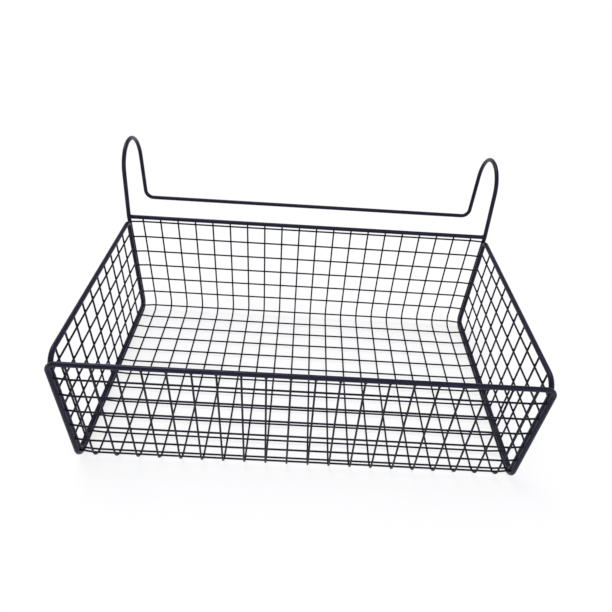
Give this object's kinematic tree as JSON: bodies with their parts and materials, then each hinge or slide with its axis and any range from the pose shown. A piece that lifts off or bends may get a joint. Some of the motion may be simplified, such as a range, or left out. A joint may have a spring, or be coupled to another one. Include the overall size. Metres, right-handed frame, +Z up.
{
  "type": "hanging wire basket",
  "caption": "Open-topped wire mesh basket with a hooped wire hanger behind that hooks over a partition, panel or rail.",
  "frame": {"origin": "on the surface the basket stands on, midway across and midway between the basket's front and the back of its hooks", "axes": "+X to the right seen from the front, +Y towards the hooks, +Z up"},
  "size_m": [0.4154, 0.3092, 0.208],
  "materials": {
    "frame_coat": "satin powder coat",
    "mesh_coat": "satin powder coat"
  },
  "bodies": {
    "root": {"frame_wire": "frame_coat", "back_bar": "frame_coat", "side_frame_left": "frame_coat", "side_frame_right": "frame_coat", "side_uprights_left": "mesh_coat", "side_uprights_right": "mesh_coat", "side_rails_left": "mesh_coat", "side_rails_right": "mesh_coat", "long_wire_01": "mesh_coat", "long_wire_02": "mesh_coat", "long_wire_03": "mesh_coat", "long_wire_04": "mesh_coat", "long_wire_05": "mesh_coat", "long_wire_06": "mesh_coat", "long_wire_07": "mesh_coat", "long_wire_08": "mesh_coat", "long_wire_09": "mesh_coat", "long_wire_10": "mesh_coat", "long_wire_11": "mesh_coat", "long_wire_12": "mesh_coat", "long_wire_13": "mesh_coat", "long_wire_14": "mesh_coat", "long_wire_15": "mesh_coat", "long_wire_16": "mesh_coat", "long_wire_17": "mesh_coat", "long_wire_18": "mesh_coat", "long_wire_19": "mesh_coat", "long_wire_20": "mesh_coat", "back_wire_01": "mesh_coat", "back_wire_02": "mesh_coat", "back_wire_03": "mesh_coat", "back_wire_04": "mesh_coat", "back_wire_05": "mesh_coat", "back_wire_06": "mesh_coat", "back_wire_07": "mesh_coat", "floor_wire_01": "mesh_coat", "floor_wire_02": "mesh_coat", "floor_wire_03": "mesh_coat", "floor_wire_04": "mesh_coat", "floor_wire_05": "mesh_coat", "floor_wire_06": "mesh_coat", "floor_wire_07": "mesh_coat", "floor_wire_08": "mesh_coat", "floor_wire_09": "mesh_coat", "floor_wire_10": "mesh_coat", "floor_wire_11": "mesh_coat", "front_wire_01": "mesh_coat", "front_wire_02": "mesh_coat", "front_wire_03": "mesh_coat", "front_wire_04": "mesh_coat", "front_wire_05": "mesh_coat", "front_wire_06": "mesh_coat"}
  },
  "joints": []
}
